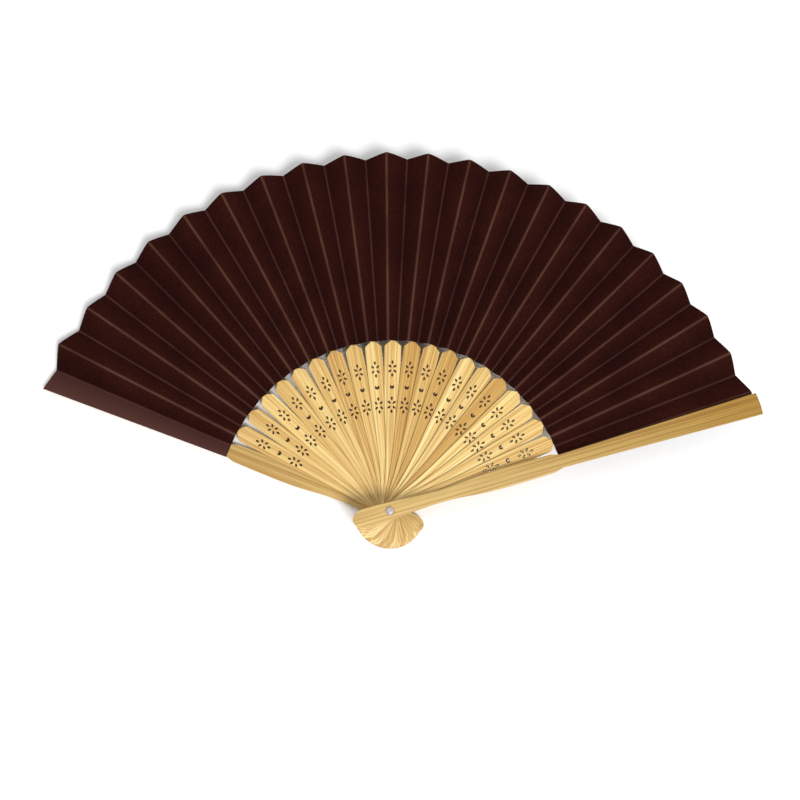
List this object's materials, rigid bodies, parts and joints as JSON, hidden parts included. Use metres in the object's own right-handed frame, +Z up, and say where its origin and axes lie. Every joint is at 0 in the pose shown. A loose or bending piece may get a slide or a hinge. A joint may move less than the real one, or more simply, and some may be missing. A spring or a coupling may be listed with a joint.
{
  "type": "folding fan",
  "caption": "Open pleated folding fan: pierced bamboo sticks turning on one rivet between two guards, with a plain dark brown paper leaf that folds flat.",
  "frame": {"origin": "middle of the open fan's footprint, on the surface that it lies on", "axes": "+Z up along the rivet, +Y up the middle of the open fan, +X towards the front guard's side"},
  "size_m": [0.3912, 0.223, 0.0335],
  "materials": {
    "guard_bamboo": "satin bamboo, lengthwise grain",
    "stick_bamboo": "smooth pale bamboo, lengthwise grain, slightly different from stick to stick",
    "leaf_paper": "matt dark brown paper with lighter worn fold lines",
    "rivet": "pearly, slightly translucent"
  },
  "bodies": {
    "back_guard": {"back_guard": "guard_bamboo", "rivet": "rivet", "leaf": "leaf_paper"},
    "stick_01": {"stick_01": "stick_bamboo"},
    "stick_02": {"stick_02": "stick_bamboo"},
    "stick_03": {"stick_03": "stick_bamboo"},
    "stick_04": {"stick_04": "stick_bamboo"},
    "stick_05": {"stick_05": "stick_bamboo"},
    "stick_06": {"stick_06": "stick_bamboo"},
    "stick_07": {"stick_07": "stick_bamboo"},
    "stick_08": {"stick_08": "stick_bamboo"},
    "stick_09": {"stick_09": "stick_bamboo"},
    "stick_10": {"stick_10": "stick_bamboo"},
    "stick_11": {"stick_11": "stick_bamboo"},
    "stick_12": {"stick_12": "stick_bamboo"},
    "stick_13": {"stick_13": "stick_bamboo"},
    "stick_14": {"stick_14": "stick_bamboo"},
    "stick_15": {"stick_15": "stick_bamboo"},
    "stick_16": {"stick_16": "stick_bamboo"},
    "stick_17": {"stick_17": "stick_bamboo"},
    "stick_18": {"stick_18": "stick_bamboo"},
    "stick_19": {"stick_19": "stick_bamboo"},
    "stick_20": {"stick_20": "stick_bamboo"},
    "front_guard": {"front_guard": "guard_bamboo"}
  },
  "joints": [
    {"name": "fold_01", "type": "hinge", "parent": "back_guard", "child": "stick_01", "pos_m": [-0.0043, -0.0921, 0], "axis": [0, 0, 1], "range_deg": [0, 7.15], "deforming": ["leaf"]},
    {"name": "fold_02", "type": "hinge", "parent": "stick_01", "child": "stick_02", "pos_m": [-0.0043, -0.0921, 0], "axis": [0, 0, 1], "range_deg": [0, 7.11]},
    {"name": "fold_03", "type": "hinge", "parent": "stick_02", "child": "stick_03", "pos_m": [-0.0043, -0.0921, 0], "axis": [0, 0, 1], "range_deg": [0, 7.07]},
    {"name": "fold_04", "type": "hinge", "parent": "stick_03", "child": "stick_04", "pos_m": [-0.0043, -0.0921, 0], "axis": [0, 0, 1], "range_deg": [0, 7.03]},
    {"name": "fold_05", "type": "hinge", "parent": "stick_04", "child": "stick_05", "pos_m": [-0.0043, -0.0921, 0], "axis": [0, 0, 1], "range_deg": [0, 6.98]},
    {"name": "fold_06", "type": "hinge", "parent": "stick_05", "child": "stick_06", "pos_m": [-0.0043, -0.0921, 0], "axis": [0, 0, 1], "range_deg": [0, 6.94]},
    {"name": "fold_07", "type": "hinge", "parent": "stick_06", "child": "stick_07", "pos_m": [-0.0043, -0.0921, 0], "axis": [0, 0, 1], "range_deg": [0, 6.9]},
    {"name": "fold_08", "type": "hinge", "parent": "stick_07", "child": "stick_08", "pos_m": [-0.0043, -0.0921, 0], "axis": [0, 0, 1], "range_deg": [0, 6.86]},
    {"name": "fold_09", "type": "hinge", "parent": "stick_08", "child": "stick_09", "pos_m": [-0.0043, -0.0921, 0], "axis": [0, 0, 1], "range_deg": [0, 6.82]},
    {"name": "fold_10", "type": "hinge", "parent": "stick_09", "child": "stick_10", "pos_m": [-0.0043, -0.0921, 0], "axis": [0, 0, 1], "range_deg": [0, 6.77]},
    {"name": "fold_11", "type": "hinge", "parent": "stick_10", "child": "stick_11", "pos_m": [-0.0043, -0.0921, 0], "axis": [0, 0, 1], "range_deg": [0, 6.73]},
    {"name": "fold_12", "type": "hinge", "parent": "stick_11", "child": "stick_12", "pos_m": [-0.0043, -0.0921, 0], "axis": [0, 0, 1], "range_deg": [0, 6.69]},
    {"name": "fold_13", "type": "hinge", "parent": "stick_12", "child": "stick_13", "pos_m": [-0.0043, -0.0921, 0], "axis": [0, 0, 1], "range_deg": [0, 6.65]},
    {"name": "fold_14", "type": "hinge", "parent": "stick_13", "child": "stick_14", "pos_m": [-0.0043, -0.0921, 0], "axis": [0, 0, 1], "range_deg": [0, 6.61]},
    {"name": "fold_15", "type": "hinge", "parent": "stick_14", "child": "stick_15", "pos_m": [-0.0043, -0.0921, 0], "axis": [0, 0, 1], "range_deg": [0, 6.56]},
    {"name": "fold_16", "type": "hinge", "parent": "stick_15", "child": "stick_16", "pos_m": [-0.0043, -0.0921, 0], "axis": [0, 0, 1], "range_deg": [0, 6.52]},
    {"name": "fold_17", "type": "hinge", "parent": "stick_16", "child": "stick_17", "pos_m": [-0.0043, -0.0921, 0], "axis": [0, 0, 1], "range_deg": [0, 6.48]},
    {"name": "fold_18", "type": "hinge", "parent": "stick_17", "child": "stick_18", "pos_m": [-0.0043, -0.0921, 0], "axis": [0, 0, 1], "range_deg": [0, 6.44]},
    {"name": "fold_19", "type": "hinge", "parent": "stick_18", "child": "stick_19", "pos_m": [-0.0043, -0.0921, 0], "axis": [0, 0, 1], "range_deg": [0, 6.39]},
    {"name": "fold_20", "type": "hinge", "parent": "stick_19", "child": "stick_20", "pos_m": [-0.0043, -0.0921, 0], "axis": [0, 0, 1], "range_deg": [0, 6.7]},
    {"name": "fold_21", "type": "hinge", "parent": "stick_20", "child": "front_guard", "pos_m": [-0.0043, -0.0921, 0], "axis": [0, 0, 1], "range_deg": [0, 7.02]}
  ],
  "couplings": [
    {"joint": "fold_02", "follows": "fold_01", "ratio": 0.99413},
    {"joint": "fold_03", "follows": "fold_01", "ratio": 0.98825},
    {"joint": "fold_04", "follows": "fold_01", "ratio": 0.98238},
    {"joint": "fold_05", "follows": "fold_01", "ratio": 0.9765},
    {"joint": "fold_06", "follows": "fold_01", "ratio": 0.97063},
    {"joint": "fold_07", "follows": "fold_01", "ratio": 0.96476},
    {"joint": "fold_08", "follows": "fold_01", "ratio": 0.95888},
    {"joint": "fold_09", "follows": "fold_01", "ratio": 0.95301},
    {"joint": "fold_10", "follows": "fold_01", "ratio": 0.94713},
    {"joint": "fold_11", "follows": "fold_01", "ratio": 0.94126},
    {"joint": "fold_12", "follows": "fold_01", "ratio": 0.93539},
    {"joint": "fold_13", "follows": "fold_01", "ratio": 0.92951},
    {"joint": "fold_14", "follows": "fold_01", "ratio": 0.92364},
    {"joint": "fold_15", "follows": "fold_01", "ratio": 0.91776},
    {"joint": "fold_16", "follows": "fold_01", "ratio": 0.91189},
    {"joint": "fold_17", "follows": "fold_01", "ratio": 0.90601},
    {"joint": "fold_18", "follows": "fold_01", "ratio": 0.90014},
    {"joint": "fold_19", "follows": "fold_01", "ratio": 0.89427},
    {"joint": "fold_20", "follows": "fold_01", "ratio": 0.93734},
    {"joint": "fold_21", "follows": "fold_01", "ratio": 0.98182}
  ]
}
